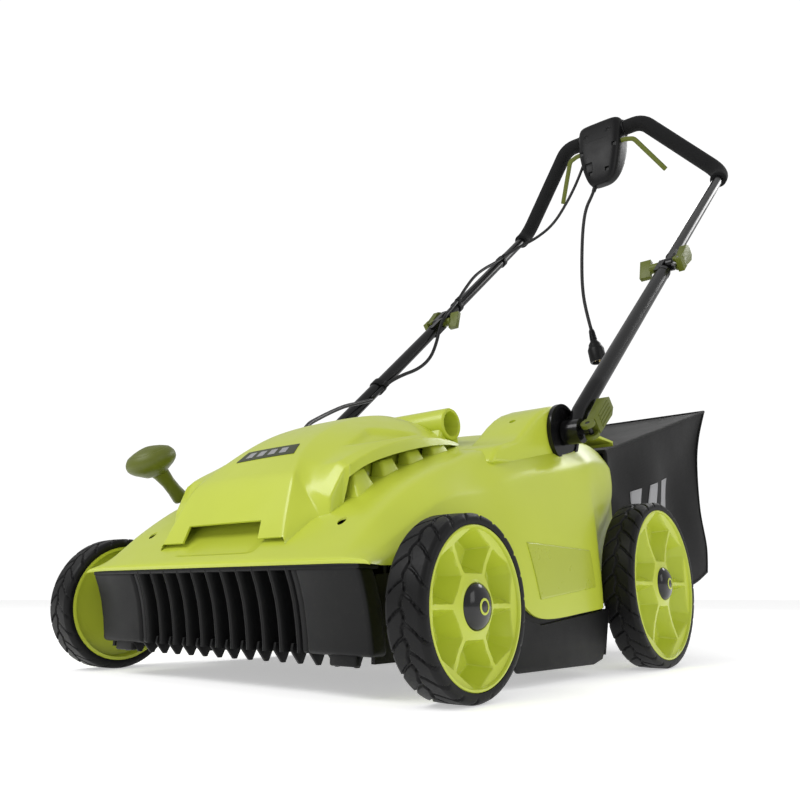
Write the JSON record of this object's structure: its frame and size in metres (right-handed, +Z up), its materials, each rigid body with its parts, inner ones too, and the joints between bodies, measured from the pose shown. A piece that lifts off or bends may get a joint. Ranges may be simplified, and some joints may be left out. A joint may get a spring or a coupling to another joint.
{
  "type": "lawn dethatcher",
  "caption": "Walk-behind electric lawn dethatcher: green moulded deck and hood over a sprung-tine reel, big spoked wheels, folding tube handle with start lever and lead, cloth bag behind.",
  "frame": {"origin": "on the ground, under the middle of the overall width and length", "axes": "+Z up, +Y towards the operator, +X to the operator's left"},
  "size_m": [0.578, 1.0967, 1.114],
  "materials": {
    "green_plastic": "glossy moulded, lightly textured",
    "black_plastic": "fine moulded texture",
    "gloss_black_plastic": "polished",
    "tyre_rubber": "moulded tread",
    "zinc_steel": "zinc plated",
    "spring_steel": "oiled spring steel",
    "motor_steel": "dull",
    "cord_rubber": "satin",
    "black_paint": "glossy powder coat",
    "olive_plastic": "satin",
    "foam": "fine closed-cell foam",
    "inner_plastic": "plain",
    "bag_cloth": "woven"
  },
  "bodies": {
    "machine": {"deck_cover": "green_plastic", "motor_hood": "green_plastic", "front_guard": "black_plastic", "chassis": "black_plastic", "side_skirts": "black_plastic", "pivot_covers": "green_plastic", "cover_screws": "zinc_steel", "rear_axle": "zinc_steel", "reel_bearings": "zinc_steel", "motor_can": "motor_steel", "drive_belt": "cord_rubber", "pivot_brackets": "black_paint", "lead_tail": "cord_rubber"},
    "height_adjuster": {"height_crank": "zinc_steel", "height_lever": "black_paint", "height_knob": "olive_plastic"},
    "front_left_wheel": {"front_left_tyre": "tyre_rubber", "front_left_rim": "green_plastic", "front_left_hub_cap": "gloss_black_plastic"},
    "front_right_wheel": {"front_right_tyre": "tyre_rubber", "front_right_rim": "green_plastic", "front_right_hub_cap": "gloss_black_plastic"},
    "rear_left_wheel": {"rear_left_tyre": "tyre_rubber", "rear_left_rim": "green_plastic", "rear_left_hub_cap": "gloss_black_plastic"},
    "rear_right_wheel": {"rear_right_tyre": "tyre_rubber", "rear_right_rim": "green_plastic", "rear_right_hub_cap": "gloss_black_plastic"},
    "reel": {"reel_shaft": "zinc_steel", "tine_carrier": "spring_steel", "spring_tines": "spring_steel", "driven_pulley": "zinc_steel"},
    "rotor": {"armature": "motor_steel", "cooling_fan": "black_plastic", "drive_pulley": "zinc_steel"},
    "lower_handle": {"lower_handle_left": "black_paint", "lower_handle_right": "black_paint", "lower_cable_clip": "black_plastic", "lead_lower": "cord_rubber"},
    "upper_handle": {"upper_handle_bar": "black_paint", "foam_grips": "foam", "clamp_bolts": "zinc_steel", "switch_box_front": "black_plastic", "switch_box_back": "black_plastic", "switch_module": "inner_plastic", "upper_cable_clips": "black_plastic", "lead_upper": "cord_rubber", "pigtail": "cord_rubber", "inlet_plug": "black_plastic"},
    "lower_lever_left": {"lower_clamp_lever_left": "olive_plastic"},
    "upper_lever_left": {"upper_clamp_lever_left": "olive_plastic"},
    "wing_nut_left_body": {"wing_nut_left": "olive_plastic"},
    "lower_lever_right": {"lower_clamp_lever_right": "olive_plastic"},
    "upper_lever_right": {"upper_clamp_lever_right": "olive_plastic"},
    "wing_nut_right_body": {"wing_nut_right": "olive_plastic"},
    "bail": {"bail_lever": "olive_plastic"},
    "lock": {"lock_button": "olive_plastic"},
    "flap": {"discharge_flap": "green_plastic"},
    "bag": {"grass_bag": "bag_cloth", "bag_frame": "zinc_steel"}
  },
  "joints": [
    {"name": "height_adjust", "type": "hinge", "parent": "machine", "child": "height_adjuster", "pos_m": [0, -0.4236, 0.088], "axis": [1, 0, 0], "range_deg": [0, 12]},
    {"name": "front_left_wheel_spin", "type": "hinge", "parent": "height_adjuster", "child": "front_left_wheel", "pos_m": [0.261, -0.4716, 0.0775], "axis": [1, 0, 0], "continuous": true},
    {"name": "front_right_wheel_spin", "type": "hinge", "parent": "height_adjuster", "child": "front_right_wheel", "pos_m": [-0.261, -0.4716, 0.0775], "axis": [1, 0, 0], "continuous": true},
    {"name": "rear_left_wheel_spin", "type": "hinge", "parent": "machine", "child": "rear_left_wheel", "pos_m": [0.256, -0.0516, 0.1], "axis": [1, 0, 0], "continuous": true},
    {"name": "rear_right_wheel_spin", "type": "hinge", "parent": "machine", "child": "rear_right_wheel", "pos_m": [-0.256, -0.0516, 0.1], "axis": [1, 0, 0], "continuous": true},
    {"name": "reel_spin", "type": "hinge", "parent": "machine", "child": "reel", "pos_m": [0, -0.2666, 0.062], "axis": [1, 0, 0], "continuous": true},
    {"name": "motor_spin", "type": "hinge", "parent": "machine", "child": "rotor", "pos_m": [0, -0.3716, 0.165], "axis": [1, 0, 0], "continuous": true},
    {"name": "lower_handle_fold", "type": "hinge", "parent": "machine", "child": "lower_handle", "pos_m": [0, -0.1756, 0.278], "axis": [1, 0, 0], "range_deg": [0, 75]},
    {"name": "upper_handle_fold", "type": "hinge", "parent": "lower_handle", "child": "upper_handle", "pos_m": [0, 0.1734, 0.609], "axis": [1, 0, 0], "range_deg": [0, 120], "deforming": ["lead_upper", "lead_lower"]},
    {"name": "lower_clamp_left", "type": "hinge", "parent": "machine", "child": "lower_lever_left", "pos_m": [0.2465, -0.1756, 0.278], "axis": [0, 0.667, -0.745], "range_deg": [0, 100]},
    {"name": "upper_clamp_left", "type": "hinge", "parent": "upper_handle", "child": "upper_lever_left", "pos_m": [0.251, 0.1734, 0.609], "axis": [0, 0.667, -0.745], "range_deg": [0, 35]},
    {"name": "wing_nut_turn_left", "type": "hinge", "parent": "upper_handle", "child": "wing_nut_left_body", "pos_m": [0.212, 0.1734, 0.609], "axis": [1, 0, 0], "continuous": true},
    {"name": "lower_clamp_right", "type": "hinge", "parent": "machine", "child": "lower_lever_right", "pos_m": [-0.2465, -0.1756, 0.278], "axis": [0, -0.667, 0.745], "range_deg": [0, 100]},
    {"name": "upper_clamp_right", "type": "hinge", "parent": "upper_handle", "child": "upper_lever_right", "pos_m": [-0.251, 0.1734, 0.609], "axis": [0, -0.667, 0.745], "range_deg": [0, 35]},
    {"name": "wing_nut_turn_right", "type": "hinge", "parent": "upper_handle", "child": "wing_nut_right_body", "pos_m": [-0.212, 0.1734, 0.609], "axis": [1, 0, 0], "continuous": true},
    {"name": "bail_press", "type": "hinge", "parent": "upper_handle", "child": "bail", "pos_m": [0, 0.4694, 1.05], "axis": [1, 0, 0], "range_deg": [0, 18], "stiffness_Nm_per_rad": 0.6, "springref_deg": -20.05},
    {"name": "lock_press", "type": "slide", "parent": "upper_handle", "child": "lock", "axis": [0, -1, 0], "range_m": [0, 0.004], "stiffness_N_per_m": 300, "springref_m": -0.003},
    {"name": "flap_open", "type": "hinge", "parent": "machine", "child": "flap", "pos_m": [0, -0.0666, 0.301], "axis": [1, 0, 0], "range_deg": [0, 60]},
    {"name": "bag_slide", "type": "slide", "parent": "machine", "child": "bag", "axis": [0, 1, 0], "range_m": [0, 0.3]}
  ],
  "couplings": [
    {"joint": "motor_spin", "follows": "reel_spin", "ratio": 3}
  ]
}
